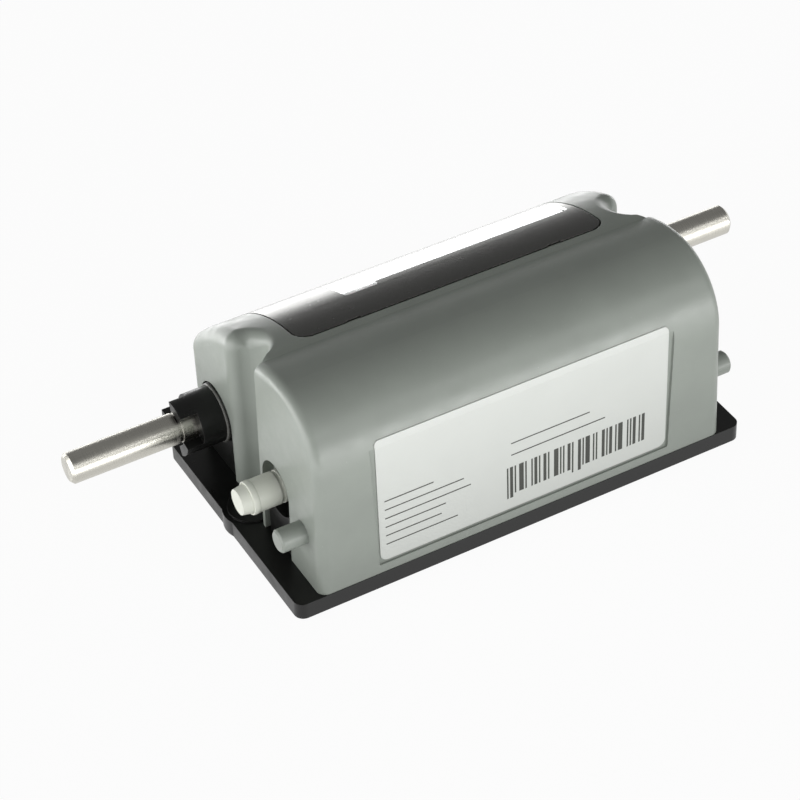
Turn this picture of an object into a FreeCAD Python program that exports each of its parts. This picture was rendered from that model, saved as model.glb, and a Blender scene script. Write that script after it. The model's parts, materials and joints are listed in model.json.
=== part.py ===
import FreeCAD, Part
import math
import os

# Cable length counter, in millimetres.
# Origin: centre of the base plate's underside. X runs along the drive shaft, Y from the label
# side to the reader's side, Z up. "Back" values are places along Y, "height" values along Z.

V = FreeCAD.Vector

# Base plate
base_length = 100.0
base_depth = 56.0
base_thickness = 3.6
base_corner = 2.0
mount_hole_radius = 2.25
mount_inset = 5.55
mount_back = 1.7
flange_boss_radius = 6.0
flange_ring_radius = 4.95
flange_ring_height = 0.4

# Clearances and general values
running_gap = 0.05
seat_gap = 0.02
end_play = 0.05
overrun = 5.0
edge_break = 0.4

# Drive shaft
shaft_radius = 3.175
shaft_length = 151.6
shaft_back = 16.4
shaft_height = 16.6
shaft_chamfer = 0.6
free_end_groove_width = 0.7
free_end_groove_depth = 0.2
free_end_setback = 0.1

# Cover
wall = 1.8
cover_ledge = 0.1
cover_back = 27.3
flange_length = 5.95
rear_lobe_step = 0.25
end_draft_share = 0.024
front_lobe_radius = 14.0
crease_drop = 1.8
well_radius = 5.9
strip_back = -2.6
strip_slope = 0.306
dome_radius = 44.8
reading_direction = 64.7
wheel_depth = 3.16
front_edge_radius = 2.0
rear_edge_radius = 3.2
well_edge_radius = 2.8
well_tip_radius = 0.3
shaft_slot_radius = 6.5
reset_slot_radius = 5.4
peg_radius = 2.35
peg_length = 6.1
peg_inset = 6.5
peg_height = 15.2
screw_boss_radius = 2.8
screw_boss_height = 16.0
screw_boss_bite = 0.3
front_screw_inset = 8.05
rear_screw_inset = 15.8

# Window
window_middle_angle = 65.0
window_inset = 9.99
window_half_width = 15.03
window_corner = 3.2
bezel_gap = 0.35
bezel_low = 0.02
bezel_thickness = 1.98
bezel_flange_reach = 1.3
bezel_flange_thickness = 0.9
snap_inset = 12.06
snap_width = 3.0
snap_depth = 0.35
lens_left = -19.0
lens_right_inset = 1.76
lens_front = -3.62
lens_back = 6.3
lens_corner = 1.0
lens_tab_length = 7.5
lens_tab_reach = 1.9
lens_gap = 0.06
lens_low = 0.02
lens_lip_reach = 1.2
lens_lip_thickness = 0.6

# Label
recess_depth = 0.45
recess_foot_length = 64.8
recess_top_length = 66.5
recess_bottom = 5.6
recess_top = 38.0
recess_corner = 0.5
label_length = 64.0
label_bottom = 6.1
label_top = 35.7
label_top_corner = 1.0
label_bottom_corner = 1.8
label_thickness = 0.15

# Side frames
frame_setback = 10.85
frame_thickness = 3.0
frame_front = -17.0
frame_back = 22.6
frame_headroom = 8.4
frame_front_fall = 10.3
frame_back_fall = 9.7
frame_front_run = 5.5
frame_back_run = 13.1
foot_reach = 4.0
foot_height = 2.8
foot_back = 19.0
pad_recess = 0.6
pad_clearance = 0.4
saddle_recess = 0.2
saddle_radius = 6.2
saddle_height = 14.0
frame_screw_front = -13.0
frame_screw_back = 15.0
tie_radius = 1.5
tie_tenon_radius = 1.0
tie_tenon_length = 1.6
tie_places = ((-7.5, 32.5), (0.0, 8.5), (19.2, 26.2))

# Shaft bushes
bush_spigot_radius = 4.55
bush_flange_radius = 6.2
bush_flange_thickness = 0.6
bush_barrel_radius = 5.8
bush_barrel_length = 6.1
bush_prong_length = 3.6
bush_prong_inner = 3.75
bush_prong_angles = (80.0, 200.0, 320.0)
bush_prong_sweep = 52.0
collar_radius = 5.0
collar_thickness = 1.5
washer_radius = 5.2
washer_thickness = 0.3
washer_gap = 0.1

# Number wheels
drive_centres = 14.4
wheel_direction = 134.0
wheel_count = 6
wheel_radius = 10.5
wheel_pitch = 8.2
first_wheel_place = -13.05
rim_width = 5.2
rim_edge = 0.2
rim_inner_radius = 9.3
rim_groove_radius = 7.6
rim_web = 1.3
hub_radius = 4.2
hub_pocket_radius = 3.6
hub_pocket_depth = 1.65
wheel_shaft_radius = 2.0
groove_depth = 0.5
groove_width = 1.0
clip_radius = 3.2
clip_thickness = 0.6
spacer_radius = 3.2
carry_disc_radius = 6.7
carry_tooth_radius = 7.35
carry_disc_thickness = 1.2
carry_tooth_width = 1.3
carry_tooth_angles = (-9.0, 9.0)
pawl_inner = 2.12
pawl_outer = 3.4
pawl_width = 1.1
pawl_sweep = 230.0

# Gears
pressure_angle = 25.0
tip_share = 0.85
root_share = 1.12
backlash = 0.1
drive_module = 0.6
drive_pinion_teeth = 16
first_gear_teeth = 32
first_gear_width = 2.5
first_gear_offset = 0.5
drive_pinion_overrun = 0.3
carry_module = 0.85
wheel_gear_teeth = 20
carry_pinion_teeth = 8
wheel_gear_width = 1.3
carry_direction = 250.0
carry_shaft_radius = 0.9
carry_pinion_side_gap = 0.15
carry_shaft_seat = 1.5
reset_module = 0.6
reset_teeth = 32
reset_gear_width = 3.0
reset_gear_setback = 2.3
reset_direction = 208.0

# Reset spindle
spindle_radius = 3.3
spindle_free_length = 4.7
spindle_nose_length = 3.3
spindle_nose_radius = 2.6
spindle_nose_step = 0.1
spindle_flange_radius = 4.4
spindle_flange_thickness = 1.2
spindle_flange_gap = 0.3
journal_radius = 2.0
journal_setback = 7.4
bracket_gap = 0.3
bracket_thickness = 2.5
bracket_half_width = 4.6
bracket_head_radius = 4.6
detent_blade_thickness = 0.3
detent_blade_gap = 0.1
detent_blade_step = 0.1
detent_blade_width = 1.7
detent_blade_height = 17.0
detent_foot_length = 4.0
detent_flat_depth = 0.3

# Screws
screw_radius = 1.1
screw_head_radius = 2.2
screw_head_height = 1.5
screw_seat_depth = 1.8
screw_hole_radius = 1.3
screw_pilot_radius = 1.12
cover_screw_reach = 10.0
frame_screw_reach = 2.4

# Places worked out from the sizes above
cover_front = -base_depth / 2 + cover_ledge
lobe_centre_back = cover_front + front_lobe_radius
lobe_rear = mount_back - well_radius
lobe_run = lobe_rear - lobe_centre_back
lobe_back_radius = (lobe_run ** 2 + crease_drop ** 2) / (2 * crease_drop)
mount_place = base_length / 2 - mount_inset
front_lobe_length = base_length - flange_length - flange_length
rear_lobe_length = front_lobe_length - rear_lobe_step - rear_lobe_step
front_screw_place = front_lobe_length / 2 - front_screw_inset
rear_screw_place = rear_lobe_length / 2 - rear_screw_inset
window_half_length = front_lobe_length / 2 - window_inset
snap_place = window_half_length - snap_inset
lens_right = window_half_length - lens_right_inset
frame_inner = front_lobe_length / 2 - frame_setback
frame_outer = frame_inner + frame_thickness
frame_screw_place = frame_inner - foot_reach / 2
reset_gear_end = frame_inner - reset_gear_setback
journal_shoulder = frame_inner - journal_setback
bracket_outer = journal_shoulder - bracket_gap
detent_blade_inner = journal_shoulder + detent_blade_step
wheel_back = shaft_back + drive_centres * math.cos(math.radians(wheel_direction))
wheel_height = shaft_height + drive_centres * math.sin(math.radians(wheel_direction))
carry_centres = carry_module * (wheel_gear_teeth + carry_pinion_teeth) / 2
carry_back = wheel_back + carry_centres * math.cos(math.radians(carry_direction))
carry_height = wheel_height + carry_centres * math.sin(math.radians(carry_direction))
reset_centres = reset_module * reset_teeth
reset_back = wheel_back + reset_centres * math.cos(math.radians(reset_direction))
reset_height = wheel_height + reset_centres * math.sin(math.radians(reset_direction))
base_top = base_thickness
dome_offset = dome_radius - wheel_depth - wheel_radius
dome_back = wheel_back - dome_offset * math.cos(math.radians(reading_direction))
dome_height = wheel_height - dome_offset * math.sin(math.radians(reading_direction))
strip_height = dome_height + math.sqrt(dome_radius ** 2 - (strip_back - dome_back) ** 2)
front_lobe_height = strip_height - strip_slope * (strip_back - lobe_rear) + crease_drop
lobe_centre_height = front_lobe_height - front_lobe_radius
frame_top = front_lobe_height - frame_headroom
reset_end_growth = end_draft_share * (front_lobe_height - reset_height)
pad_reach = rear_lobe_length / 2 - pad_recess
reset_end_face = front_lobe_length / 2 + reset_end_growth
saddle_reach = reset_end_face - saddle_recess
peg_reach = front_lobe_length / 2 + peg_length
bush_barrel_end = pad_reach + bush_barrel_length
bush_prong_end = bush_barrel_end + bush_prong_length
spindle_nose_start = reset_end_face + spindle_free_length
spindle_tip = spindle_nose_start + spindle_nose_length
first_gear_place = first_wheel_place - rim_width / 2 - first_gear_offset - first_gear_width


def block(x0, x1, y0, y1, z0, z1):
    return Part.makeBox(x1 - x0, y1 - y0, z1 - z0, V(x0, y0, z0))


def rod(radius, x0, x1, back, height):
    return Part.makeCylinder(radius, x1 - x0, V(x0, back, height), V(1, 0, 0))


def post(radius, z0, z1, place, back):
    return Part.makeCylinder(radius, z1 - z0, V(place, back, z0), V(0, 0, 1))


def tube(outer, inner, x0, x1, back, height):
    return rod(outer, x0, x1, back, height).cut(rod(inner, x0, x1, back, height))


def side_prism(edges, x0, x1):
    """Solid between x0 and x1 whose section is the closed outline of edges in the YZ plane."""
    face = Part.Face(Part.Wire(edges))
    face.translate(V(x0, 0, 0))
    return face.extrude(V(x1 - x0, 0, 0))


def line(a, b):
    return Part.LineSegment(V(0, *a), V(0, *b)).toShape()


def arc(a, middle, b):
    return Part.Arc(V(0, *a), V(0, *middle), V(0, *b)).toShape()


def polygon(points):
    return [line(a, b) for a, b in zip(points, points[1:] + points[:1])]


def polar(centre, radius, degrees):
    turn = math.radians(degrees)
    return (centre[0] + radius * math.cos(turn), centre[1] + radius * math.sin(turn))


def other_end(shape):
    return shape.mirror(V(0, 0, 0), V(1, 0, 0))


def join(shapes):
    whole = shapes[0]
    for shape in shapes[1:]:
        whole = whole.fuse(shape)
    return whole.removeSplitter()


def cut_all(shape, tools):
    for tool in tools:
        shape = shape.cut(tool)
    return shape


def rounded_slab(length, depth, corner, z0, z1):
    """Upright slab centred on the Z axis with rounded vertical corners."""
    slab = block(-length / 2, length / 2, -depth / 2, depth / 2, z0, z1)
    upright = [e for e in slab.Edges if abs(e.tangentAt(e.FirstParameter).z) > 0.99]
    return slab.makeFillet(corner, upright)


# Gears

def involute_spread(base_radius, radius):
    """Angle in degrees by which an involute has turned at a radius."""
    angle = math.acos(min(base_radius / radius, 1))
    return math.degrees(math.tan(angle) - angle)


def gear_outline(teeth, module, phase):
    """Closed outline of a spur gear about the origin; a tooth is centred on the phase angle."""
    pitch_radius = module * teeth / 2
    tip_radius = pitch_radius + tip_share * module
    root_radius = pitch_radius - root_share * module
    base_radius = pitch_radius * math.cos(math.radians(pressure_angle))
    start_radius = max(root_radius, base_radius)
    middle_radius = (start_radius + tip_radius) / 2
    half_pitch_tooth = 90 / teeth - math.degrees(backlash / 2 / pitch_radius)
    widest = half_pitch_tooth + involute_spread(base_radius, pitch_radius)

    def half_tooth(radius):
        return widest - involute_spread(base_radius, radius)

    edges = []
    centre = (0, 0)
    for tooth in range(teeth):
        middle = phase + 360 * tooth / teeth
        rising = [polar(centre, r, middle - half_tooth(r)) for r in (start_radius, middle_radius, tip_radius)]
        falling = [polar(centre, r, middle + half_tooth(r)) for r in (tip_radius, middle_radius, start_radius)]
        foot = polar(centre, root_radius, middle - half_tooth(start_radius))
        heel = polar(centre, root_radius, middle + half_tooth(start_radius))
        next_foot = polar(centre, root_radius, middle + 360 / teeth - half_tooth(start_radius))
        if start_radius > root_radius:
            edges.append(line(foot, rising[0]))
        edges.append(arc(*rising))
        edges.append(line(rising[2], falling[0]))
        edges.append(arc(*falling))
        if start_radius > root_radius:
            edges.append(line(falling[2], heel))
        edges.append(line(heel, next_foot))
    return edges


def gear(teeth, module, phase, x0, x1, back, height):
    solid = side_prism(gear_outline(teeth, module, phase), x0, x1)
    solid.translate(V(0, back, height))
    return solid


# Base plate

def cover_screw_places():
    front = cover_front + wall + screw_boss_radius - screw_boss_bite
    back = cover_back - wall - screw_boss_radius + screw_boss_bite
    corners = ((front_screw_place, front), (rear_screw_place, back))
    return [(side * place, depth) for place, depth in corners for side in (-1, 1)]


def frame_screw_places():
    backs = (frame_screw_front, frame_screw_back)
    return [(side * frame_screw_place, back) for back in backs for side in (-1, 1)]


def spindle_bracket():
    x0 = -bracket_outer
    x1 = x0 + bracket_thickness
    upright = block(x0, x1, reset_back - bracket_half_width, reset_back + bracket_half_width,
                    base_top, reset_height)
    head = rod(bracket_head_radius, x0, x1, reset_back, reset_height)
    hole = rod(journal_radius + running_gap, x0 - overrun, x1 + overrun, reset_back, reset_height)
    return join([upright, head]).cut(hole)


def base_plate():
    plate = rounded_slab(base_length, base_depth, base_corner, 0, base_top)
    pieces = [plate]
    tools = []
    for side in (-1, 1):
        place = side * mount_place
        pieces.append(post(flange_boss_radius, 0, base_top, place, mount_back))
        pieces.append(post(flange_ring_radius, 0, base_top + flange_ring_height, place, mount_back))
        tools.append(post(mount_hole_radius, -overrun, base_top + overrun, place, mount_back))
    for place, back in cover_screw_places() + frame_screw_places():
        tools.append(post(screw_hole_radius, -overrun, base_top + overrun, place, back))
        tools.append(post(screw_head_radius + running_gap, -overrun, screw_seat_depth, place, back))
    return cut_all(join(pieces), tools)


# Cover

def front_lobe(inset, half_length, rear):
    """Solid of the front lobe's section, moved inwards by the inset."""
    front = cover_front + inset
    radius = front_lobe_radius - inset
    back_radius = lobe_back_radius - inset
    centre = (lobe_centre_back, lobe_centre_height)
    back_centre = (lobe_centre_back, front_lobe_height - lobe_back_radius)
    fall = math.degrees(math.asin((rear - lobe_centre_back) / back_radius))
    crest = polar(centre, radius, 90)
    crease = polar(back_centre, back_radius, 90 - fall)
    edges = [
        line((front, 0), (front, lobe_centre_height)),
        arc((front, lobe_centre_height), polar(centre, radius, 135), crest),
        arc(crest, polar(back_centre, back_radius, 90 - fall / 2), crease),
        line(crease, (rear, 0)),
        line((rear, 0), (front, 0)),
    ]
    return side_prism(edges, -half_length, half_length)


def dome_angle(radius, back):
    return math.degrees(math.acos((back - dome_back) / radius))


def rear_lobe(inset, half_length, front):
    """Solid of the rear lobe's section, moved inwards by the inset."""
    centre = (dome_back, dome_height)
    radius = dome_radius - inset
    rear = cover_back - inset
    first = dome_angle(radius, strip_back)
    last = dome_angle(radius, rear)
    strip = polar(centre, radius, first)
    low = (front, strip[1] - strip_slope * (strip_back - front))
    shoulder = polar(centre, radius, last)
    edges = [
        line((front, 0), low),
        line(low, strip),
        arc(strip, polar(centre, radius, (first + last) / 2), shoulder),
        line(shoulder, (rear, 0)),
        line((rear, 0), (front, 0)),
    ]
    return side_prism(edges, -half_length, half_length)


def drafted_block(half_length):
    """Room for the front lobe, whose ends lean out towards the foot; half_length is at the crest."""
    reach = half_length + end_draft_share * front_lobe_height
    top = front_lobe_height + overrun
    high_reach = half_length - end_draft_share * overrun
    corners = [V(-reach, -base_depth, 0), V(reach, -base_depth, 0), V(high_reach, -base_depth, top),
               V(-high_reach, -base_depth, top)]
    face = Part.Face(Part.makePolygon(corners + corners[:1]))
    return face.extrude(V(0, base_depth + base_depth, 0))


def wells(radius):
    """Upright cylinders over the two mounting holes, with their seams outside the cover."""
    right = post(radius, -overrun, front_lobe_height + overrun, mount_place, mount_back)
    return [other_end(right), right]


def middle_of(edge):
    return edge.valueAt((edge.FirstParameter + edge.LastParameter) / 2)


def is_upright(edge):
    return abs(edge.tangentAt((edge.FirstParameter + edge.LastParameter) / 2).z) > 0.99


def soft_front_lobe():
    """Front lobe with rounded edges round both ends, apart from the rear and the foot."""
    half = front_lobe_length / 2
    lobe = front_lobe(0, base_length / 2, lobe_rear).common(drafted_block(half))
    chosen = []
    for edge in lobe.Edges:
        middle = middle_of(edge)
        on_end = abs(middle.x) > half / 2
        if on_end and middle.z > seat_gap and middle.y < lobe_rear - seat_gap:
            chosen.append(edge)
    return lobe.makeFillet(front_edge_radius, chosen)


def soften(shape, radii):
    """Fillets edges whose radius may change along them. radii holds (edge, first radius, last radius)."""
    document = FreeCAD.newDocument("soften")
    base = document.addObject("Part::Feature", "base")
    base.Shape = shape
    fillet = document.addObject("Part::Fillet", "fillet")
    fillet.Base = base
    numbers = [[n for n, other in enumerate(shape.Edges, 1) if other.isSame(edge)][0] for edge, _, _ in radii]
    fillet.Edges = [(n, first, last) for n, (_, first, last) in zip(numbers, radii)]
    document.recompute()
    softened = fillet.Shape.copy()
    FreeCAD.closeDocument(document.Name)
    return softened


def crowned_lobe():
    """Rear lobe with rounded upright back corners, and a round crown at the ends and back."""
    half = rear_lobe_length / 2
    lobe = rear_lobe(0, half, lobe_rear - wall)
    back_corners = [e for e in lobe.Edges if is_upright(e) and middle_of(e).y > shaft_back]
    lobe = lobe.makeFillet(rear_edge_radius, back_corners)
    crown = []
    for edge in lobe.Edges:
        middle = middle_of(edge)
        at_end = abs(middle.x) > half - rear_edge_radius
        at_back = middle.y > cover_back - rear_edge_radius
        high = middle.z > shaft_height
        if high and not is_upright(edge) and (at_end or at_back) and middle.y > lobe_rear - wall + seat_gap:
            crown.append(edge)
    return lobe.makeFillet(rear_edge_radius, crown)


def well_rim_radii(lobe):
    """Radii round the right well: soft at the back, fading to almost sharp at the strip."""
    half = rear_lobe_length / 2
    radii = []
    for edge in lobe.Edges:
        middle = middle_of(edge)
        off_axis = math.hypot(middle.x - mount_place, middle.y - mount_back)
        first, last = edge.valueAt(edge.FirstParameter), edge.valueAt(edge.LastParameter)
        if is_upright(edge) and middle.x > half - seat_gap and mount_back < middle.y < shaft_back:
            radii.append((edge, well_edge_radius, well_edge_radius))
        elif middle.z > shaft_height and middle.y > strip_back and abs(off_axis - well_radius) < seat_gap:
            tip = strip_back + seat_gap
            radii.append((edge, well_tip_radius if first.y < tip else well_edge_radius,
                          well_tip_radius if last.y < tip else well_edge_radius))
    return radii


def soft_rear_lobe():
    """Crowned lobe with its two wells, whose rims are rounded."""
    lobe = crowned_lobe().common(block(0, base_length, -base_depth, base_depth, -overrun,
                                       front_lobe_height + overrun))
    lobe = lobe.cut(wells(well_radius)[1])
    lobe = soften(lobe, well_rim_radii(lobe))
    return join([lobe, other_end(lobe)])


def cavity():
    front = front_lobe(wall, front_lobe_length / 2 - wall, lobe_rear - wall)
    rear = rear_lobe(wall, rear_lobe_length / 2 - wall, lobe_rear - wall - wall)
    return front.fuse(cut_all(rear, wells(well_radius + wall)))


def dome_window(half_length, low, high, corner, x0=None, x1=None):
    """Prism through the dome along the window's middle direction, with rounded corners.
    low and high are distances across the window from its middle, towards the back."""
    left = -half_length if x0 is None else x0
    right = half_length if x1 is None else x1
    slab = block(left, right, low, high, dome_radius / 2, dome_radius + overrun)
    upright = [e for e in slab.Edges if abs(e.tangentAt(e.FirstParameter).z) > 0.99]
    if corner:
        slab = slab.makeFillet(corner, upright)
    slab.rotate(V(0, 0, 0), V(1, 0, 0), window_middle_angle - 90)
    slab.translate(V(0, dome_back, dome_height))
    return slab


def dome_shell(outer, inner, length):
    return tube(outer, inner, -length, length, dome_back, dome_height)


def u_slot(radius, x0, x1, back, height):
    lower = block(x0, x1, back - radius, back + radius, 0, height)
    return rod(radius, x0, x1, back, height).fuse(lower)


def label_face(grow):
    """Front lobe with the label recess cut back, both moved outwards by grow."""
    lobe = front_lobe(-grow, front_lobe_length / 2, lobe_rear)
    slab_back = cover_front + recess_depth - grow
    slab = block(-base_length, base_length, cover_front - overrun, slab_back, 0, recess_top)
    return lobe.cut(slab)


def edges_through(slab, height):
    """Edges of a slab that run front to back at one height."""
    return [e for e in slab.Edges if abs(e.tangentAt(e.FirstParameter).y) > 0.99
            and abs(middle_of(e).z - height) < seat_gap]


def label_recess():
    """Room of the label's recess, a little narrower at its foot."""
    front = cover_front - overrun
    low, high = recess_foot_length / 2, recess_top_length / 2
    corners = [V(-low, front, recess_bottom), V(low, front, recess_bottom),
               V(high, front, recess_top), V(-high, front, recess_top)]
    room = Part.Face(Part.makePolygon(corners + corners[:1])).extrude(V(0, overrun + recess_depth, 0))
    return room.makeFillet(recess_corner, edges_through(room, recess_bottom))


def peg():
    back = cover_front + peg_inset
    start = front_lobe_length / 2 - wall
    pin = rod(peg_radius, start, peg_reach, back, peg_height)
    end = [e for e in pin.Edges if e.Closed and e.valueAt(0).x > peg_reach - seat_gap]
    return pin.makeChamfer(edge_break, end)


def housing_cover():
    outer = soft_front_lobe().fuse(soft_rear_lobe())
    shell = outer.cut(cavity())
    shell = shell.cut(block(-base_length, base_length, -base_depth, base_depth, -overrun, base_top))
    far = base_length / 2
    shaft_slot = u_slot(shaft_slot_radius, rear_lobe_length / 2 - wall - seat_gap, far,
                        shaft_back, shaft_height)
    reset_slot = u_slot(reset_slot_radius, -far, wall - front_lobe_length / 2, reset_back, reset_height)
    opening = dome_window(window_half_length, -window_half_width, window_half_width, window_corner)
    shell = cut_all(shell, [shaft_slot, other_end(shaft_slot), reset_slot, label_recess(), opening])
    pieces = [shell, peg(), other_end(peg())]
    pilots = []
    for place, back in cover_screw_places():
        pieces.append(post(screw_boss_radius, base_top, screw_boss_height, place, back))
        pilots.append(post(screw_pilot_radius, 0, screw_boss_height - wall, place, back))
    return cut_all(join(pieces), pilots)


# Window and label

def lens_opening(gap, corner):
    """Prism of the stepped clear strip, made smaller all round by the gap."""
    main = dome_window(0, lens_front + gap, lens_back - gap, corner, lens_left + gap, lens_right - gap)
    tab = dome_window(0, lens_front - lens_tab_reach + gap, lens_front + lens_corner + lens_tab_reach,
                      corner, lens_left + gap, lens_left + lens_tab_length - gap)
    return main.fuse(tab)


def window_bezel():
    top = dome_radius - bezel_low
    panel = dome_shell(top, top - bezel_thickness, base_length)
    panel = panel.common(dome_window(window_half_length - bezel_gap, bezel_gap - window_half_width,
                                     window_half_width - bezel_gap, window_corner - bezel_gap))
    flange_top = dome_radius - wall
    flange = dome_shell(flange_top, flange_top - bezel_flange_thickness, base_length)
    flange = flange.common(dome_window(window_half_length + bezel_flange_reach, window_corner - window_half_width,
                                       window_half_width + bezel_flange_reach, window_corner))
    bezel = join([panel, flange])
    lip_room = dome_window(0, lens_front - lens_tab_reach - lens_lip_reach - lens_gap,
                           lens_back + lens_lip_reach + lens_gap, 0,
                           lens_left - lens_lip_reach - lens_gap, lens_right + lens_lip_reach + lens_gap)
    under = dome_shell(top - bezel_thickness, dome_radius / 2, base_length)
    notches = [dome_window(0, -window_half_width, bezel_gap + snap_depth - window_half_width, 0,
                           place - snap_width / 2, place + snap_width / 2)
               for place in (-snap_place, snap_place)]
    return cut_all(bezel, [lens_opening(0, lens_corner), under.common(lip_room)] + notches)


def window_lens():
    top = dome_radius - lens_low
    seat = dome_radius - bezel_low - bezel_thickness
    pane = dome_shell(top, seat - lens_lip_thickness, base_length).common(lens_opening(lens_gap, lens_corner))
    lip = dome_shell(seat - seat_gap, seat - lens_lip_thickness, base_length)
    lip = lip.common(dome_window(0, lens_front - lens_tab_reach - lens_lip_reach, lens_back + lens_lip_reach,
                                 lens_corner, lens_left - lens_lip_reach, lens_right + lens_lip_reach))
    return join([pane, lip])


def rating_label():
    sheet = label_face(label_thickness).cut(label_face(0))
    patch = block(-label_length / 2, label_length / 2, cover_front - overrun, lobe_centre_back,
                  label_bottom, label_top)
    patch = patch.makeFillet(label_top_corner, edges_through(patch, label_top))
    return sheet.common(patch.makeFillet(label_bottom_corner, edges_through(patch, label_bottom)))


# Side frames

def frame_outline():
    points = [
        (frame_front, base_top),
        (frame_front, frame_top - frame_front_fall),
        (frame_front + frame_front_run, frame_top),
        (frame_back - frame_back_run, frame_top),
        (frame_back, frame_top - frame_back_fall),
        (frame_back, base_top),
    ]
    return polygon(points)


def frame_blank():
    """Side frame of the +X end, before the holes that only one end has."""
    plate = side_prism(frame_outline(), frame_inner, frame_outer)
    foot = block(frame_inner - foot_reach, frame_outer, frame_front, foot_back,
                 base_top, base_top + foot_height)
    pad_radius = shaft_slot_radius - pad_clearance
    pad = rod(pad_radius, frame_outer, pad_reach, shaft_back, shaft_height)
    pad = pad.fuse(block(frame_outer, pad_reach, shaft_back - pad_radius, shaft_back + pad_radius,
                         base_top, shaft_height))
    start = frame_inner - overrun
    tools = [rod(bush_spigot_radius + seat_gap, start, pad_reach + overrun, shaft_back, shaft_height)]
    tools.append(rod(wheel_shaft_radius + running_gap, start, frame_outer + overrun, wheel_back, wheel_height))
    tools.append(rod(carry_shaft_radius + seat_gap, start, frame_inner + carry_shaft_seat,
                     carry_back, carry_height))
    for back, height in tie_places:
        tools.append(rod(tie_tenon_radius + seat_gap, start, frame_inner + tie_tenon_length, back, height))
    for back in (frame_screw_front, frame_screw_back):
        tools.append(post(screw_pilot_radius, 0, base_top + frame_screw_reach + seat_gap,
                          frame_screw_place, back))
    return cut_all(join([plate, foot, pad]), tools)


def right_side_frame():
    return frame_blank()


def left_side_frame():
    frame = other_end(frame_blank())
    half = reset_slot_radius - pad_clearance
    saddle = block(-saddle_reach, -frame_outer, reset_back - half, lobe_rear - wall - pad_clearance,
                   base_top, saddle_height)
    saddle = saddle.cut(rod(saddle_radius, -saddle_reach - overrun, -frame_outer, reset_back, reset_height))
    hole = rod(spindle_radius + running_gap, -saddle_reach - overrun, overrun - frame_inner,
               reset_back, reset_height)
    return join([frame, saddle]).cut(hole)


def frame_tie_bars():
    bars = []
    end = frame_inner + tie_tenon_length
    for back, height in tie_places:
        bar = rod(tie_radius, -frame_inner, frame_inner, back, height)
        bars.append(bar.fuse(rod(tie_tenon_radius, -end, end, back, height)).removeSplitter())
    return Part.makeCompound(bars)


# Drive shaft group

def free_end_groove(radius, place, back, height):
    """Shallow ring that ends where the free end of a shaft at +X begins, just clear of place."""
    end = place + free_end_setback
    return tube(radius + overrun, radius - free_end_groove_depth, end - free_end_groove_width, end,
                back, height)


def drive_shaft():
    half = shaft_length / 2
    bar = rod(shaft_radius, -half, half, shaft_back, shaft_height)
    ends = [e for e in bar.Edges if e.Closed]
    groove = free_end_groove(shaft_radius, bush_prong_end, shaft_back, shaft_height)
    return cut_all(bar.makeChamfer(shaft_chamfer, ends), [groove, other_end(groove)])


def bush():
    """Bearing bush of the +X end: spigot in the frame, flange, barrel and three prongs."""
    bore = shaft_radius + running_gap
    pieces = [
        rod(bush_spigot_radius, frame_inner, pad_reach, shaft_back, shaft_height),
        rod(bush_flange_radius, pad_reach, pad_reach + bush_flange_thickness, shaft_back, shaft_height),
        rod(bush_barrel_radius, pad_reach, bush_barrel_end, shaft_back, shaft_height),
    ]
    ring = tube(bush_barrel_radius, bush_prong_inner, bush_barrel_end, bush_prong_end, shaft_back, shaft_height)
    for angle in bush_prong_angles:
        sector = prong_sector(180 - angle)
        pieces.append(ring.common(sector))
    solid = join(pieces)
    return solid.cut(rod(bore, frame_inner - overrun, bush_prong_end + overrun, shaft_back, shaft_height))


def prong_sector(angle):
    """Wedge about the shaft axis that one prong lies in; angle from +Y towards +Z."""
    reach = 2 * bush_barrel_radius
    centre = (shaft_back, shaft_height)
    points = [centre, polar(centre, reach, angle - bush_prong_sweep / 2), polar(centre, reach, angle),
              polar(centre, reach, angle + bush_prong_sweep / 2)]
    return side_prism(polygon(points), bush_barrel_end, bush_prong_end)


def shaft_stop(radius, thickness, start):
    """Ring pair on the drive shaft whose outer faces lie at start from the middle."""
    ring = tube(radius, shaft_radius + seat_gap, start - thickness, start, shaft_back, shaft_height)
    return Part.makeCompound([ring, other_end(ring)])


def shaft_washers():
    return shaft_stop(washer_radius, washer_thickness, frame_inner - washer_gap)


def shaft_collars():
    start = frame_inner - washer_gap - washer_thickness - washer_gap
    return shaft_stop(collar_radius, collar_thickness, start)


def drive_pinion():
    x0 = first_gear_place - drive_pinion_overrun
    x1 = first_gear_place + first_gear_width + drive_pinion_overrun
    phase = wheel_direction + 180 / drive_pinion_teeth
    pinion = gear(drive_pinion_teeth, drive_module, phase, x0, x1, shaft_back, shaft_height)
    return pinion.cut(rod(shaft_radius + seat_gap, x0 - overrun, x1 + overrun, shaft_back, shaft_height))


def first_wheel_gear():
    x0 = first_gear_place
    x1 = x0 + first_gear_width
    wheel = gear(first_gear_teeth, drive_module, wheel_direction + 180, x0, x1, wheel_back, wheel_height)
    return wheel.cut(rod(hub_radius + seat_gap, x0 - overrun, x1 + overrun, wheel_back, wheel_height))


# Number wheels

def wheel_place(index):
    return first_wheel_place + index * wheel_pitch


def carry_disc(x0):
    disc = rod(carry_disc_radius, x0, x0 + carry_disc_thickness, wheel_back, wheel_height)
    for angle in carry_tooth_angles:
        tooth = block(x0, x0 + carry_disc_thickness, 0, carry_tooth_radius,
                      -carry_tooth_width / 2, carry_tooth_width / 2)
        tooth.rotate(V(0, 0, 0), V(1, 0, 0), carry_direction + angle)
        tooth.translate(V(0, wheel_back, wheel_height))
        disc = disc.fuse(tooth)
    return disc


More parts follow.
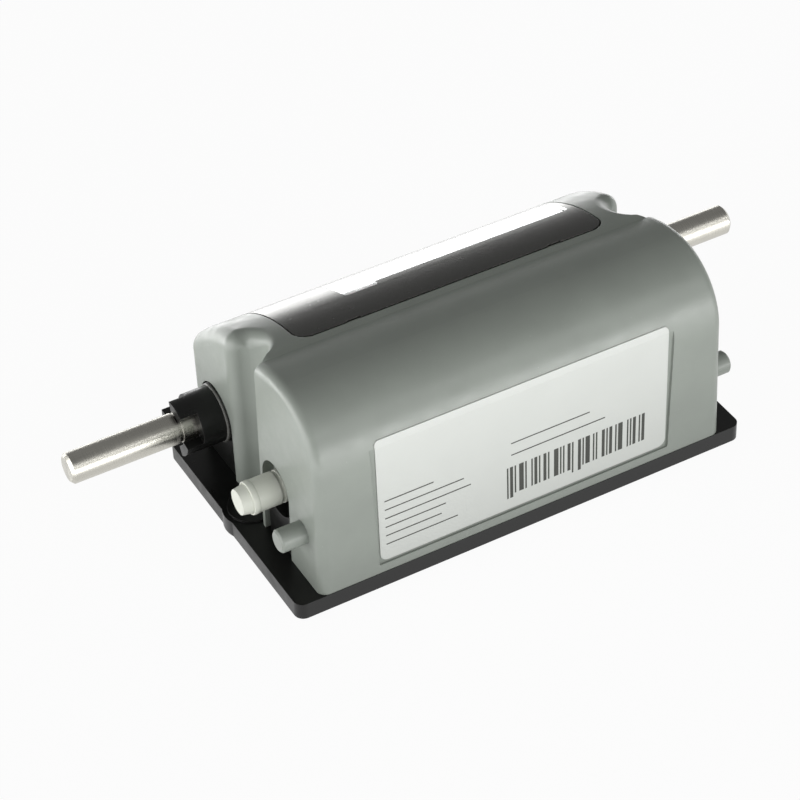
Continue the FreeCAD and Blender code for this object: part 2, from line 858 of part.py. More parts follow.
def number_wheel(index):
    """One number wheel: rim, hub, and the gear and carry disc that its place in the row needs."""
    middle = wheel_place(index)
    left = middle - rim_width / 2
    right = middle + rim_width / 2
    rim = rod(wheel_radius, left, right, wheel_back, wheel_height)
    rim = rim.makeFillet(rim_edge, [e for e in rim.Edges if e.Closed])
    hub_end = right + hub_pocket_depth
    pieces = [rim, rod(hub_radius, left, hub_end, wheel_back, wheel_height)]
    if index == 0:
        hub_start = first_gear_place - drive_pinion_overrun
        pieces.append(rod(hub_radius, hub_start, left, wheel_back, wheel_height))
    else:
        pieces.append(gear(wheel_gear_teeth, carry_module, carry_direction, left - wheel_gear_width, left,
                           wheel_back, wheel_height))
    if index < wheel_count - 1:
        pieces.append(carry_disc(right))
    bore = rod(wheel_shaft_radius + running_gap, left - overrun - first_gear_width, hub_end + overrun,
               wheel_back, wheel_height)
    pocket = rod(hub_pocket_radius, right, hub_end + overrun, wheel_back, wheel_height)
    groove = tube(rim_inner_radius, rim_groove_radius, left + rim_web, right + overrun,
                  wheel_back, wheel_height)
    return cut_all(join(pieces), [bore, pocket, groove])


def reset_pawl(index):
    """Open ring in the wheel's hub pocket."""
    start = wheel_place(index) + rim_width / 2 + (hub_pocket_depth - pawl_width) / 2
    ring = Part.makeCylinder(pawl_outer, pawl_width, V(start, wheel_back, wheel_height), V(1, 0, 0), pawl_sweep)
    return ring.cut(rod(pawl_inner, start - overrun, start + overrun, wheel_back, wheel_height))


def transfer_pinion(index):
    """Carry pinion between two wheels; every other tooth is short beside the lower wheel."""
    x0 = wheel_place(index) + rim_width / 2 + carry_pinion_side_gap
    x1 = wheel_place(index + 1) - rim_width / 2 - carry_pinion_side_gap
    short_start = wheel_place(index + 1) - rim_width / 2 - wheel_gear_width
    phase = carry_direction + 180 + 180 / carry_pinion_teeth
    solid = gear(carry_pinion_teeth, carry_module, phase, x0, x1, carry_back, carry_height)
    pitch_radius = carry_module * carry_pinion_teeth / 2
    core = pitch_radius - carry_module
    for tooth in range(0, carry_pinion_teeth, 2):
        room = block(x0 - overrun, short_start, core, pitch_radius + carry_module,
                     -carry_module, carry_module)
        room.rotate(V(0, 0, 0), V(1, 0, 0), phase + 360 * tooth / carry_pinion_teeth)
        room.translate(V(0, carry_back, carry_height))
        solid = solid.cut(room)
    bore = rod(carry_shaft_radius + running_gap, x0 - overrun, x1 + overrun, carry_back, carry_height)
    return solid.cut(bore)


def pinion_shaft():
    end = frame_inner + carry_shaft_seat
    return rod(carry_shaft_radius, -end, end, carry_back, carry_height)


def wheel_shaft():
    bar = rod(wheel_shaft_radius, -frame_outer, frame_outer, wheel_back, wheel_height)
    start = wheel_place(0) - rim_width / 2
    end = wheel_place(wheel_count - 1) + rim_width / 2 + hub_pocket_depth
    top = wheel_height + wheel_shaft_radius
    groove = block(start, end, wheel_back - groove_width / 2, wheel_back + groove_width / 2,
                   top - groove_depth, top + overrun)
    return bar.cut(groove)


def clip_start():
    return wheel_place(wheel_count - 1) + rim_width / 2 + hub_pocket_depth + end_play


def wheel_shaft_clips():
    start = clip_start()
    clip = tube(clip_radius, wheel_shaft_radius + seat_gap, start, start + clip_thickness,
                wheel_back, wheel_height)
    return Part.makeCompound([clip, other_end(clip)])


def wheel_spacer():
    start = -reset_gear_end + reset_gear_width + end_play
    end = first_gear_place - drive_pinion_overrun - end_play
    return tube(spacer_radius, wheel_shaft_radius + seat_gap, start, end, wheel_back, wheel_height)


# Reset group

def wheel_shaft_gear():
    x0 = -reset_gear_end
    x1 = x0 + reset_gear_width
    wheel = gear(reset_teeth, reset_module, reset_direction, x0, x1, wheel_back, wheel_height)
    return wheel.cut(rod(wheel_shaft_radius + seat_gap, x0 - overrun, x1 + overrun, wheel_back, wheel_height))


def reset_gear():
    x0 = -reset_gear_end
    x1 = x0 + reset_gear_width
    phase = reset_direction + 180 + 180 / reset_teeth
    wheel = gear(reset_teeth, reset_module, phase, x0, x1, reset_back, reset_height)
    return wheel.cut(rod(spindle_radius + seat_gap, x0 - overrun, x1 + overrun, reset_back, reset_height))


def reset_spindle():
    """Spindle with its free end and tapered nose at -X and its journal at the other end."""
    flange_start = frame_inner - spindle_flange_gap
    flange_end = flange_start - spindle_flange_thickness
    nose = Part.makeCone(spindle_radius - spindle_nose_step, spindle_nose_radius, spindle_nose_length,
                         V(-spindle_nose_start, reset_back, reset_height), V(-1, 0, 0))
    pieces = [
        rod(spindle_radius, -spindle_nose_start, -journal_shoulder, reset_back, reset_height),
        rod(spindle_flange_radius, -flange_start, -flange_end, reset_back, reset_height),
        rod(journal_radius, -journal_shoulder, bracket_thickness - bracket_outer, reset_back, reset_height),
        nose,
    ]
    groove = other_end(free_end_groove(spindle_radius, reset_end_face, reset_back, reset_height))
    flat_face = reset_back - spindle_radius + detent_flat_depth
    blade = -detent_blade_inner - detent_blade_width
    flat = block(blade - detent_blade_gap, detent_blade_gap - detent_blade_inner, flat_face - overrun, flat_face,
                 reset_height - spindle_radius, reset_height + spindle_radius)
    return cut_all(join(pieces), [groove, flat])


def reset_detent_spring():
    x1 = -detent_blade_inner
    x0 = x1 - detent_blade_width
    near = reset_back - spindle_radius - detent_blade_gap
    far = near - detent_blade_thickness
    blade = block(x0, x1, far, near, base_top, base_top + detent_blade_height)
    foot = block(x0, x1, far - detent_foot_length, near, base_top, base_top + detent_blade_thickness)
    return join([blade, foot])


# Screws

def screw(place, back, reach):
    """Screw from below whose thread ends at the reach above the base's top."""
    seat = screw_seat_depth
    head = post(screw_head_radius, seat - screw_head_height, seat, place, back)
    return head.fuse(post(screw_radius, seat, base_top + reach, place, back)).removeSplitter()


def cover_screws():
    return Part.makeCompound([screw(place, back, cover_screw_reach) for place, back in cover_screw_places()])


def frame_screws():
    return Part.makeCompound([screw(place, back, frame_screw_reach) for place, back in frame_screw_places()])


def make_nodes():
    nodes = {
        "base_plate": base_plate(),
        "housing_cover": housing_cover(),
        "window_bezel": window_bezel(),
        "window_lens": window_lens(),
        "rating_label": rating_label(),
        "left_side_frame": left_side_frame(),
        "right_side_frame": right_side_frame(),
        "frame_tie_bars": frame_tie_bars(),
        "left_shaft_bush": other_end(bush()),
        "right_shaft_bush": bush(),
        "drive_shaft": drive_shaft(),
        "shaft_washers": shaft_washers(),
        "shaft_collars": shaft_collars(),
        "drive_pinion": drive_pinion(),
        "first_wheel_gear": first_wheel_gear(),
        "wheel_shaft": wheel_shaft(),
        "wheel_shaft_gear": wheel_shaft_gear(),
        "wheel_shaft_clips": wheel_shaft_clips(),
        "wheel_spacer": wheel_spacer(),
        "pinion_shaft": pinion_shaft(),
        "reset_spindle": reset_spindle(),
        "reset_gear": reset_gear(),
        "spindle_bracket": spindle_bracket(),
        "reset_detent_spring": reset_detent_spring(),
        "cover_screws": cover_screws(),
        "frame_screws": frame_screws(),
    }
    for index in range(wheel_count):
        nodes["number_wheel_%d" % (index + 1)] = number_wheel(index)
        nodes["reset_pawl_%d" % (index + 1)] = reset_pawl(index)
    for index in range(wheel_count - 1):
        nodes["transfer_pinion_%d" % (index + 1)] = transfer_pinion(index)
    return nodes


os.makedirs("parts", exist_ok=True)
for name, shape in make_nodes().items():
    shape.exportStep("parts/%s.step" % name)
    print(name, len(shape.Solids), "solids, valid", shape.isValid(), "volume %.1f" % shape.Volume)
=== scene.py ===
import json
import math

import bmesh
import bpy
from mathutils import Matrix, Vector


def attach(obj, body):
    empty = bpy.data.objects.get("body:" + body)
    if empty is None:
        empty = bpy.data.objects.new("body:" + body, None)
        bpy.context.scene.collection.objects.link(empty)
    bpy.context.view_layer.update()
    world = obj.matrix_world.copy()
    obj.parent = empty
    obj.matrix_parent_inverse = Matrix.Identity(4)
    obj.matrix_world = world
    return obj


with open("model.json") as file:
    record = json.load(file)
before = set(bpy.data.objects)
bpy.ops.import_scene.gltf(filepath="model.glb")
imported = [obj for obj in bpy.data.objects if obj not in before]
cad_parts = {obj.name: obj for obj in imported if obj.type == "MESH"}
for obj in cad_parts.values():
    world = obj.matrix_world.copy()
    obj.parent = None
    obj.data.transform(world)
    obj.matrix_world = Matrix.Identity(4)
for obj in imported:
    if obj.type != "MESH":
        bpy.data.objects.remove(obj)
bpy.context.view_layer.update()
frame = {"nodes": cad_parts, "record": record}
nodes = frame["nodes"]

MM = 0.001


# Camera at the photograph's angle: place, lens and sensor in millimetres, angles in degrees

CAMERA_PLACE = (-198.02, -354.84, 354.89)
CAMERA_AZIMUTH = -27.682
CAMERA_ELEVATION = 40.116
CAMERA_ROLL = 2.664
CAMERA_LENS = 120.76
CAMERA_SENSOR = 36
CAMERA_NEAR, CAMERA_FAR = 0.01, 20


def add_camera():
    az, el, roll = (math.radians(a) for a in (CAMERA_AZIMUTH, CAMERA_ELEVATION, CAMERA_ROLL))
    back = Vector((math.sin(az) * math.cos(el), -math.cos(az) * math.cos(el), math.sin(el)))
    right = Vector((math.cos(az), math.sin(az), 0))
    up = back.cross(right)
    rolled_right = right * math.cos(roll) - up * math.sin(roll)
    rolled_up = right * math.sin(roll) + up * math.cos(roll)
    data = bpy.data.cameras.new("camera")
    data.lens = CAMERA_LENS
    data.sensor_width = CAMERA_SENSOR
    data.clip_start = CAMERA_NEAR
    data.clip_end = CAMERA_FAR
    camera = bpy.data.objects.new("camera", data)
    turn = Matrix((rolled_right, rolled_up, back)).transposed().to_4x4()
    camera.matrix_world = Matrix.Translation(Vector(CAMERA_PLACE) * MM) @ turn
    bpy.context.scene.collection.objects.link(camera)
    bpy.context.scene.camera = camera


# Materials

NOISE_LOW, NOISE_HIGH = 0.3, 0.7  # the range that most of a noise texture's values lie in
BEVEL_SAMPLES = 4


class Paint:
    """A node material with a principled shader, and short helpers for its nodes."""

    def __init__(self, name, color, roughness, metallic=0.0, **sockets):
        self.material = bpy.data.materials.new(name)
        self.material.use_nodes = True
        self.tree = self.material.node_tree
        self.shader = self.tree.nodes["Principled BSDF"]
        self.shader.inputs["Base Color"].default_value = (*color, 1)
        self.shader.inputs["Roughness"].default_value = roughness
        self.shader.inputs["Metallic"].default_value = metallic
        for socket, value in sockets.items():
            self.shader.inputs[socket.replace("_", " ")].default_value = value
        self.place = self.node("ShaderNodeNewGeometry").outputs["Position"]

    def node(self, kind, **values):
        node = self.tree.nodes.new(kind)
        for name, value in values.items():
            setattr(node, name, value)
        return node

    def link(self, source, target):
        self.tree.links.new(source, target)

    def stretched(self, scale):
        """The surface point, scaled per axis, as texture coordinates."""
        mapping = self.node("ShaderNodeMapping")
        mapping.inputs["Scale"].default_value = scale
        self.link(self.place, mapping.inputs["Vector"])
        return mapping.outputs["Vector"]

    def noise(self, size_mm, detail=3.0, rough=0.5, stretch=(1, 1, 1)):
        per = 1 / (size_mm * MM)
        noise = self.node("ShaderNodeTexNoise")
        noise.inputs["Scale"].default_value = 1.0
        noise.inputs["Detail"].default_value = detail
        noise.inputs["Roughness"].default_value = rough
        self.link(self.stretched([per * s for s in stretch]), noise.inputs["Vector"])
        return noise.outputs["Fac"]

    def ramp(self, noise, low, high):
        """Maps a noise from one colour to another."""
        ramp = self.node("ShaderNodeValToRGB")
        stops = ((NOISE_LOW, low), (NOISE_HIGH, high))
        for element, (place, color) in zip(ramp.color_ramp.elements, stops):
            element.position = place
            element.color = (*color, 1)
        self.link(noise, ramp.inputs["Fac"])
        return ramp.outputs["Color"]

    def span(self, noise, low, high):
        """Maps a noise from one value to another."""
        remap = self.node("ShaderNodeMapRange")
        remap.inputs["From Min"].default_value = NOISE_LOW
        remap.inputs["From Max"].default_value = NOISE_HIGH
        remap.inputs["To Min"].default_value = low
        remap.inputs["To Max"].default_value = high
        self.link(noise, remap.inputs["Value"])
        return remap.outputs["Result"]

    def math(self, operation, a, b):
        node = self.node("ShaderNodeMath", operation=operation)
        for socket, value in zip(node.inputs, (a, b)):
            if isinstance(value, (int, float)):
                socket.default_value = value
            else:
                self.link(value, socket)
        return node.outputs["Value"]

    def blend_color(self, factor, under, over):
        """Mixes a plain colour over a linked one."""
        mix = self.node("ShaderNodeMix", data_type="RGBA")
        sockets = {s.name: s for s in mix.inputs if s.enabled}
        self.link(factor, sockets["Factor"])
        self.link(under, sockets["A"])
        sockets["B"].default_value = (*over, 1)
        return [s for s in mix.outputs if s.enabled][0]

    def color(self, source):
        self.link(source, self.shader.inputs["Base Color"])

    def roughness(self, source):
        self.link(source, self.shader.inputs["Roughness"])

    def soft_edges(self, radius_mm):
        """Normal that rounds the last fraction of a millimetre of every edge."""
        bevel = self.node("ShaderNodeBevel", samples=BEVEL_SAMPLES)
        bevel.inputs["Radius"].default_value = radius_mm * MM
        return bevel.outputs["Normal"]

    def bump(self, source, depth_mm, below):
        bump = self.node("ShaderNodeBump")
        bump.inputs["Distance"].default_value = depth_mm * MM
        self.link(source, bump.inputs["Height"])
        self.link(below, bump.inputs["Normal"])
        self.link(bump.outputs["Normal"], self.shader.inputs["Normal"])


CLOUD_MM = 9.0
RUB_MM = 3.0
FLECK_CELL_MM = 2.2
FLECK_RADIUS = 0.055
FLECK_PATCH_MM = 6.0
FLECK_PATCH_LEVEL = 0.56
FLECK_LIGHTER = 0.35


def moulded(name, color, roughness, grain_mm=0.35, grain_depth=0.004, variation=0.04, flecks=0.0,
            edge_mm=0.18, ior=1.5, patchy=0.07, tint=(1, 1, 1)):
    """Moulded plastic: spark-eroded grain, uneven gloss and a few specks of dust."""
    paint = Paint(name, color, roughness, IOR=ior, Specular_Tint=(*tint, 1))
    cloud = paint.noise(CLOUD_MM)
    darker = tuple(c * (1 - variation) for c in color)
    lighter = tuple(min(1, c * (1 + variation)) for c in color)
    base = paint.ramp(cloud, darker, lighter)
    if flecks:
        cells = paint.node("ShaderNodeTexVoronoi", feature="F1")
        cells.inputs["Scale"].default_value = 1.0
        paint.link(paint.stretched([1 / (FLECK_CELL_MM * MM)] * 3), cells.inputs["Vector"])
        near = paint.math("LESS_THAN", cells.outputs["Distance"], FLECK_RADIUS)
        patch = paint.noise(FLECK_PATCH_MM, detail=1.0)
        rare = paint.math("GREATER_THAN", patch, FLECK_PATCH_LEVEL)
        shown = paint.math("MULTIPLY", paint.math("MULTIPLY", near, rare), flecks)
        base = paint.blend_color(shown, base, tuple(min(1, c + FLECK_LIGHTER) for c in color))
    paint.color(base)
    rub = paint.noise(RUB_MM, detail=4.0, rough=0.6)
    paint.roughness(paint.span(rub, roughness - patchy, roughness + patchy))
    grain = paint.noise(grain_mm, detail=2.0, rough=0.6)
    paint.bump(grain, grain_depth, paint.soft_edges(edge_mm))
    return paint.material


TOOL_RING_MM = 0.12
TOOL_RING_DEPTH = 0.0015
STREAK_MM = 2.0
STREAK_DARKER = 0.86
STEEL_EDGE_MM = 0.12


def drawn_steel(name, color, roughness):
    """Ground bar: fine rings round the axis and light lengthwise streaks."""
    paint = Paint(name, color, roughness, metallic=1.0, Anisotropic=0.6)
    tangent = paint.node("ShaderNodeTangent", direction_type="RADIAL", axis="X")
    paint.link(tangent.outputs["Tangent"], paint.shader.inputs["Tangent"])
    rings = paint.noise(TOOL_RING_MM, rough=0.7, stretch=(1, 0.02, 0.02))
    streaks = paint.noise(STREAK_MM, rough=0.6, stretch=(0.05, 1, 1))
    ring_share = paint.span(rings, -0.05, 0.07)
    streak_share = paint.span(streaks, roughness - 0.05, roughness + 0.08)
    paint.roughness(paint.math("ADD", ring_share, streak_share))
    paint.color(paint.ramp(streaks, tuple(c * STREAK_DARKER for c in color), color))
    paint.bump(rings, TOOL_RING_DEPTH, paint.soft_edges(STEEL_EDGE_MM))
    return paint.material


def clear_plastic(name, color, roughness):
    """Clear plastic with a faint, uneven haze."""
    paint = Paint(name, color, roughness, Transmission_Weight=1.0, IOR=1.49)
    haze = paint.noise(4.0)
    paint.roughness(paint.span(haze, 0.02, 0.09))
    return paint.material


GREY = (0.262, 0.287, 0.257)
BLACK = (0.004, 0.0042, 0.0038)
GLOSS_BLACK = (0.005, 0.005, 0.005)
NYLON = (0.74, 0.76, 0.68)
STEEL = (0.60, 0.585, 0.53)
SPRING_STEEL = (0.5, 0.5, 0.5)
ZINC = (0.66, 0.67, 0.68)
BRASS = (0.66, 0.48, 0.22)
WHEEL_BLACK = (0.012, 0.012, 0.012)
WHEEL_RED = (0.38, 0.018, 0.016)
LABEL_WHITE = (0.615, 0.635, 0.605)
PRINT_GREY = (0.045, 0.048, 0.04)
# the light grey of the rings round the bushes is a painted reflection of light on the black
# flanges' rounded rims
PAINTED_RIM_SHINE_GREY = (0.12, 0.12, 0.11)
DIGIT_WHITE = (0.78, 0.78, 0.76)
CLEAR = (0.95, 0.96, 0.96)

looks = {
    "grey_plastic": moulded("cover_grey", GREY, 0.38, flecks=0.12, edge_mm=0.25, ior=1.56),
    "black_plastic": moulded("base_black", BLACK, 0.34, variation=0.1, ior=1.45),
    "gloss_black": moulded("bezel_black", GLOSS_BLACK, 0.26, grain_depth=0.0003, variation=0.1,
                           edge_mm=0.1, ior=1.95, patchy=0.015, tint=(1, 1, 0.93)),
    "white_nylon": moulded("nylon", NYLON, 0.4, grain_depth=0.003, variation=0.03),
    "bright_steel": drawn_steel("ground_steel", STEEL, 0.27),
    "spring_steel": drawn_steel("spring_steel", SPRING_STEEL, 0.3),
    "zinc_steel": drawn_steel("zinc_steel", ZINC, 0.25),
    "brass": drawn_steel("turned_brass", BRASS, 0.25),
    "wheel_black": moulded("wheel_black", WHEEL_BLACK, 0.4),
    "wheel_red": moulded("wheel_red", WHEEL_RED, 0.4),
    "label_film": moulded("label_film", LABEL_WHITE, 0.35, grain_depth=0.0008, variation=0.01),
}
ink = {
    "print": moulded("label_print", PRINT_GREY, 0.5, grain_mm=0.15, grain_depth=0.001,
                     variation=0.2),
    # rings round the bushes: their grey is a painted reflection on the flanges' rims
    "ring": moulded("bush_ring_grey", PAINTED_RIM_SHINE_GREY, 0.3, grain_depth=0.001, variation=0.1,
                    edge_mm=0.1),
    "digit": moulded("digit_white", DIGIT_WHITE, 0.45, grain_mm=0.2, grain_depth=0.001,
                     variation=0.03),
}
looks["clear_plastic"] = clear_plastic("clear_plastic", CLEAR, 0.05)

for part in frame["record"]["subparts"]:
    mesh = nodes[part["node"]].data
    mesh.materials.clear()
    mesh.materials.append(looks[part["material_slot"]])


# Places of the model as the CAD has them, in millimetres and degrees; axes as (back, height)

SHAFT = (16.4, 16.6)
WHEEL = (6.397, 26.958)
RESET = (-10.556, 17.945)
WHEEL_RADIUS = 10.5
WHEEL_COUNT = 6
FIRST_WHEEL = -13.05
WHEEL_PITCH = 8.2
READING_ANGLE = 64.7
DOME = (-6.911, -1.204)
DOME_RADIUS = 44.8
WINDOW_ANGLE = 65.0
COVER_FRONT = -27.9
RECESS_DEPTH = 0.45
LABEL_THICKNESS = 0.15
LABEL_FACE = COVER_FRONT + RECESS_DEPTH - LABEL_THICKNESS


def add_piece(name, points, faces, material, body, smooth=True):
    """Mesh piece from points in millimetres, riding on a body."""
    mesh = bpy.data.meshes.new(name)
    mesh.from_pydata([tuple(c * MM for c in p) for p in points], [], faces)
    mesh.materials.append(material)
    if smooth:
        mesh.shade_smooth()
    else:
        mesh.shade_flat()
    piece = bpy.data.objects.new(name, mesh)
    bpy.context.scene.collection.objects.link(piece)
    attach(piece, body)


LATHE_SEGMENTS = 72


def add_lathe(name, profile, centre, material, body):
    """Closed ring about the X direction; profile holds (place, radius) round the section."""
    points, faces = [], []
    count = len(profile)
    for step in range(LATHE_SEGMENTS):
        turn = 2 * math.pi * step / LATHE_SEGMENTS
        for place, radius in profile:
            points.append((place, centre[0] + radius * math.cos(turn),
                           centre[1] + radius * math.sin(turn)))
    for step in range(LATHE_SEGMENTS):
        here, there = step * count, (step + 1) % LATHE_SEGMENTS * count
        for k in range(count):
            after = (k + 1) % count
            faces.append((here + k, here + after, there + after, there + k))
    add_piece(name, points, faces, material, body)


# Digits on the number wheels

DIGIT_HEIGHT = 4.7
DIGIT_WIDTH = 3.0
DIGIT_LIFT = 0.02
DIGIT_SLICES = 12
DIGIT_STEP = 36


def flat_digit(number):
    """Flat outline mesh of a digit about its middle, sliced across so that it can be wrapped."""
    curve = bpy.data.curves.new("digit", "FONT")
    curve.body = str(number)
    shape = bpy.data.objects.new("digit", curve)
    bpy.context.scene.collection.objects.link(shape)
    bpy.context.view_layer.update()
    evaluated = shape.evaluated_get(bpy.context.evaluated_depsgraph_get())
    mesh = bpy.data.meshes.new_from_object(evaluated)
    bpy.data.objects.remove(shape)
    bpy.data.curves.remove(curve)
    cut = bmesh.new()
    cut.from_mesh(mesh)
    bpy.data.meshes.remove(mesh)
    xs = [v.co.x for v in cut.verts]
    ys = [v.co.y for v in cut.verts]
    tall = max(ys) - min(ys)
    wide = min(DIGIT_WIDTH, (max(xs) - min(xs)) / tall * DIGIT_HEIGHT)
    for v in cut.verts:
        v.co.x = (v.co.x - (max(xs) + min(xs)) / 2) / (max(xs) - min(xs)) * wide
        v.co.y = (v.co.y - (max(ys) + min(ys)) / 2) / tall * DIGIT_HEIGHT
    for step in range(1, DIGIT_SLICES):
        height = DIGIT_HEIGHT * (step / DIGIT_SLICES - 0.5)
        bmesh.ops.bisect_plane(cut, geom=cut.verts[:] + cut.edges[:] + cut.faces[:],
                               plane_co=(0, height, 0), plane_no=(0, 1, 0))
    points = [(v.co.x, v.co.y) for v in cut.verts]
    cut.verts.index_update()
    faces = [[v.index for v in f.verts] for f in cut.faces]
    cut.free()
    return points, faces


def add_digits():
    digits = [flat_digit(number) for number in range(10)]
    radius = WHEEL_RADIUS + DIGIT_LIFT
    for wheel in range(WHEEL_COUNT):
        points, faces = [], []
        middle = FIRST_WHEEL + wheel * WHEEL_PITCH
        for number, (outline, cells) in enumerate(digits):
            start = len(points)
            for across, up in outline:
                turn = math.radians(READING_ANGLE + DIGIT_STEP * number) + up / WHEEL_RADIUS
                points.append((middle - across, WHEEL[0] + radius * math.cos(turn),
                               WHEEL[1] + radius * math.sin(turn)))
            faces += [[start + k for k in cell] for cell in cells]
        add_piece("digits_%d" % (wheel + 1), points, faces, ink["digit"],
                  "number_wheel_%d" % (wheel + 1), smooth=False)


# Print on the label: a plain bar pattern that encodes nothing, and blank rules for lines of text

PRINT_LIFT = 0.012
BAR_LEFT, BAR_RIGHT = -4.2, 27.5
BAR_FOOT, BAR_TOP = 9.7, 16.6
BAR_UNIT = 0.339
BAR_WIDTHS = (1, 2, 1, 3, 1, 1, 2)
BAR_GAPS = (1, 1, 2, 1, 3)
LONG_BARS = (0, 1, 14, 15)
LONG_BAR_DROP = 0.9
RULE_THICKNESS = 0.28
LEFT_RULES = -30.6
LEFT_RULES_TOP = 20.6
LEFT_RULES_PITCH = 2.15
LEFT_RULE_LENGTHS = (10.5, 17.0, 18.5, 13.0, 12.0, 15.5)
RIGHT_RULES = -3.2
RIGHT_RULE_HEIGHTS = ((22.3, 17.5), (19.4, 21.0))  # (height, length) of each


def add_label_print():
    points, faces = [], []

    def patch(x0, x1, z0, z1):
        start = len(points)
        y = LABEL_FACE - PRINT_LIFT
        points.extend([(x0, y, z0), (x1, y, z0), (x1, y, z1), (x0, y, z1)])
        faces.append((start, start + 1, start + 2, start + 3))

    place, step = BAR_LEFT, 0
    while place < BAR_RIGHT:
        wide = BAR_WIDTHS[step % len(BAR_WIDTHS)] * BAR_UNIT
        foot = BAR_FOOT - (LONG_BAR_DROP if step in LONG_BARS else 0)
        patch(place, min(place + wide, BAR_RIGHT), foot, BAR_TOP)
        place += wide + BAR_GAPS[step % len(BAR_GAPS)] * BAR_UNIT
        step += 1
    for row, length in enumerate(LEFT_RULE_LENGTHS):
        height = LEFT_RULES_TOP - LEFT_RULES_PITCH * row
        patch(LEFT_RULES, LEFT_RULES + length, height, height + RULE_THICKNESS)
    for height, length in RIGHT_RULE_HEIGHTS:
        patch(RIGHT_RULES, RIGHT_RULES + length, height, height + RULE_THICKNESS)
    add_piece("label_print", points, faces, ink["print"], "housing", smooth=False)


# Bead of the reset spindle, rings round the bushes (their grey colour is a painted reflection of
# light on the flanges' rims) and tongues of the bezel's snaps

BEAD_PLACE = -50.0
BEAD_RADIUS = 3.24
BEAD_HALF_WIDTH = 0.7
BEAD_HEIGHT = 0.18
BEAD_STEPS = 10


def add_spindle_bead():
    """Half-round bead that stands on the spindle's nose."""
    section = []
    for step in range(BEAD_STEPS + 1):
        turn = math.pi * step / BEAD_STEPS
        section.append((BEAD_PLACE + BEAD_HALF_WIDTH * math.cos(turn),
                        BEAD_RADIUS + BEAD_HEIGHT * math.sin(turn)))
    section.append((BEAD_PLACE - BEAD_HALF_WIDTH, BEAD_RADIUS - BEAD_HEIGHT))
    section.append((BEAD_PLACE + BEAD_HALF_WIDTH, BEAD_RADIUS - BEAD_HEIGHT))
    add_lathe("reset_spindle_bead", section, RESET, looks["white_nylon"], "reset_spindle")


BUSH_RING = ((43.82, 5.75), (43.82, 6.1), (44.1, 6.14), (44.35, 6.05), (44.45, 5.75))


# each ring's grey colour is a painted reflection of light on the rim of the bush's black flange
def add_bush_rings():
    for side, name in ((-1, "left"), (1, "right")):
        section = [(side * place, radius) for place, radius in BUSH_RING]
        add_lathe(name + "_bush_ring", section, SHAFT, ink["ring"], "housing")


TONGUE_PLACE = 22.0
TONGUE_HALF_WIDTH = 1.35
# (out from the dome, across it from the window's middle) round the section
TONGUE_SECTION = ((-1.9, -14.91), (-0.5, -14.91), (-0.35, -14.76), (-0.35, -14.56), (-1.9, -14.51))


def add_snap_tongues():
    """Pale tongues of the snaps that hold the bezel, in the notches at its front edge."""
    middle = math.radians(WINDOW_ANGLE)
    count = len(TONGUE_SECTION)
    for place, name in ((-TONGUE_PLACE, "left"), (TONGUE_PLACE, "right")):
        points = []
        for x in (place - TONGUE_HALF_WIDTH, place + TONGUE_HALF_WIDTH):
            for out, across in TONGUE_SECTION:
                radius = DOME_RADIUS + out
                turn = middle - math.asin(across / DOME_RADIUS)
                points.append((x, DOME[0] + radius * math.cos(turn),
                               DOME[1] + radius * math.sin(turn)))
        faces = [tuple(range(count)), tuple(reversed(range(count, 2 * count)))]
        for k in range(count):
            after = (k + 1) % count
            faces.append((k, k + count, after + count, after))
        add_piece("bezel_snap_" + name, points, faces, looks["white_nylon"], "housing",
                  smooth=False)


add_digits()
add_label_print()
add_spindle_bead()
add_bush_rings()
add_snap_tongues()


# Stage, lamps and camera, in metres and watts

STAGE_COLOR = (0.92, 0.92, 0.92, 1)
STAGE_SHADED = 0.05  # share of its own shading that the stage keeps under the plain white
FLOOR_HALF = 3.0
WALL_RADIUS = 2.4
WALL_HEIGHT = 0.09
WALL_SIDES = 64
SKY_STRENGTH = 0.24
LAMP_AIM = (0, 0, 0.02)
LOW_LAMP_HEIGHT = 0.002

LAMPS = (  # name, place, size, power
    ("left", (-1.2, 0.1, 0.26), (1.3, 0.5), 8.3),
    ("front_right", (0.42, -1.12, 0.12), (1.2, 0.24), 7.0),
    ("front_high", (0.4, -0.95, 0.8), (1.0, 0.16), 1.8),
)
LOW_LAMPS = (
    ("left_low", (-0.305, 0), (0.39, 0.6), 1.5),
    ("front_low", (0, -0.265), (0.8, 0.37), 1.3),
    ("back_low", (0, 0.34), (1.0, 0.5), 4.6),
)


def white_for_viewer(tree, under):
    """Mixes plain white over a shader for camera, mirror and glass rays."""
    path = tree.nodes.new("ShaderNodeLightPath")
    seen = path.outputs["Is Camera Ray"]
    for name in ("Is Glossy Ray", "Is Transmission Ray"):
        most = tree.nodes.new("ShaderNodeMath")
        most.operation = "MAXIMUM"
        tree.links.new(seen, most.inputs[0])
        tree.links.new(path.outputs[name], most.inputs[1])
        seen = most.outputs["Value"]
    share = tree.nodes.new("ShaderNodeMath")
    share.operation = "MULTIPLY"
    share.inputs[1].default_value = 1 - STAGE_SHADED
    tree.links.new(seen, share.inputs[0])
    white = tree.nodes.new("ShaderNodeEmission")
    white.inputs["Color"].default_value = (1, 1, 1, 1)
    mix = tree.nodes.new("ShaderNodeMixShader")
    tree.links.new(share.outputs["Value"], mix.inputs["Fac"])
    tree.links.new(under, mix.inputs[1])
    tree.links.new(white.outputs["Emission"], mix.inputs[2])
    return mix.outputs["Shader"]


def stage_material(name):
    material = bpy.data.materials.new(name)
    material.use_nodes = True
    tree = material.node_tree
    tree.nodes.clear()
    diffuse = tree.nodes.new("ShaderNodeBsdfDiffuse")
    diffuse.inputs["Color"].default_value = STAGE_COLOR
    out = tree.nodes.new("ShaderNodeOutputMaterial")
    tree.links.new(white_for_viewer(tree, diffuse.outputs["BSDF"]), out.inputs["Surface"])
    return material


def add_stage(name, points, faces):
    mesh = bpy.data.meshes.new(name)
    mesh.from_pydata(points, [], faces)
    mesh.materials.append(stage_material(name))
    card = bpy.data.objects.new(name, mesh)
    bpy.context.scene.collection.objects.link(card)


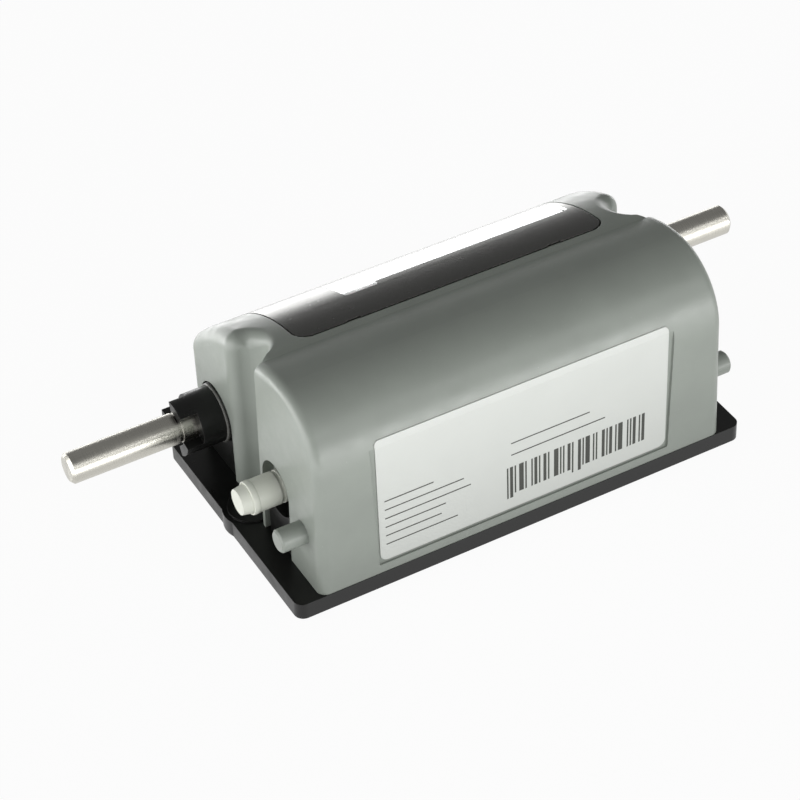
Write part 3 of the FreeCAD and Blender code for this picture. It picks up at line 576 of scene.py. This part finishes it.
def add_floor():
    corners = ((-1, -1), (1, -1), (1, 1), (-1, 1))
    add_stage("floor", [(x * FLOOR_HALF, y * FLOOR_HALF, 0) for x, y in corners], [(0, 1, 2, 3)])


def add_wall():
    """Low white wall all round: the surroundings are bright low down and dimmer overhead."""
    points = []
    for level in (0, WALL_HEIGHT):
        for step in range(WALL_SIDES):
            turn = 2 * math.pi * step / WALL_SIDES
            points.append((WALL_RADIUS * math.cos(turn), WALL_RADIUS * math.sin(turn), level))
    faces = []
    for k in range(WALL_SIDES):
        after = (k + 1) % WALL_SIDES
        faces.append((k, after, after + WALL_SIDES, k + WALL_SIDES))
    add_stage("wall", points, faces)


def add_world():
    """Even sky that lights the object at its strength and looks plain white to the camera."""
    world = bpy.data.worlds.new("studio")
    world.use_nodes = True
    tree = world.node_tree
    sky = tree.nodes["Background"]
    sky.inputs["Color"].default_value = (1, 1, 1, 1)
    path = tree.nodes.new("ShaderNodeLightPath")
    seen = tree.nodes.new("ShaderNodeMapRange")
    seen.inputs["To Min"].default_value = SKY_STRENGTH
    seen.inputs["To Max"].default_value = 1.0
    tree.links.new(path.outputs["Is Camera Ray"], seen.inputs["Value"])
    tree.links.new(seen.outputs["Result"], sky.inputs["Strength"])
    bpy.context.scene.world = world


def add_lamp(name, place, size, power, target=LAMP_AIM):
    data = bpy.data.lights.new(name, "AREA")
    data.shape = "RECTANGLE"
    data.size, data.size_y = size
    data.energy = power
    lamp = bpy.data.objects.new(name, data)
    lamp.location = place
    away = Vector(place) - Vector(target)
    lamp.rotation_euler = away.to_track_quat("Z", "Y").to_euler()
    lamp.visible_camera = False
    bpy.context.scene.collection.objects.link(lamp)


def add_low_lamp(name, place, size, power):
    """Lamp lying on the floor and shining up, like the lit floor of a photo table."""
    add_lamp(name, (*place, LOW_LAMP_HEIGHT), size, power, (*place, 1))


add_floor()
add_wall()
add_world()
for lamp in LAMPS:
    add_lamp(*lamp)
for lamp in LOW_LAMPS:
    add_low_lamp(*lamp)
add_camera()
bpy.context.scene.view_settings.view_transform = "Standard"
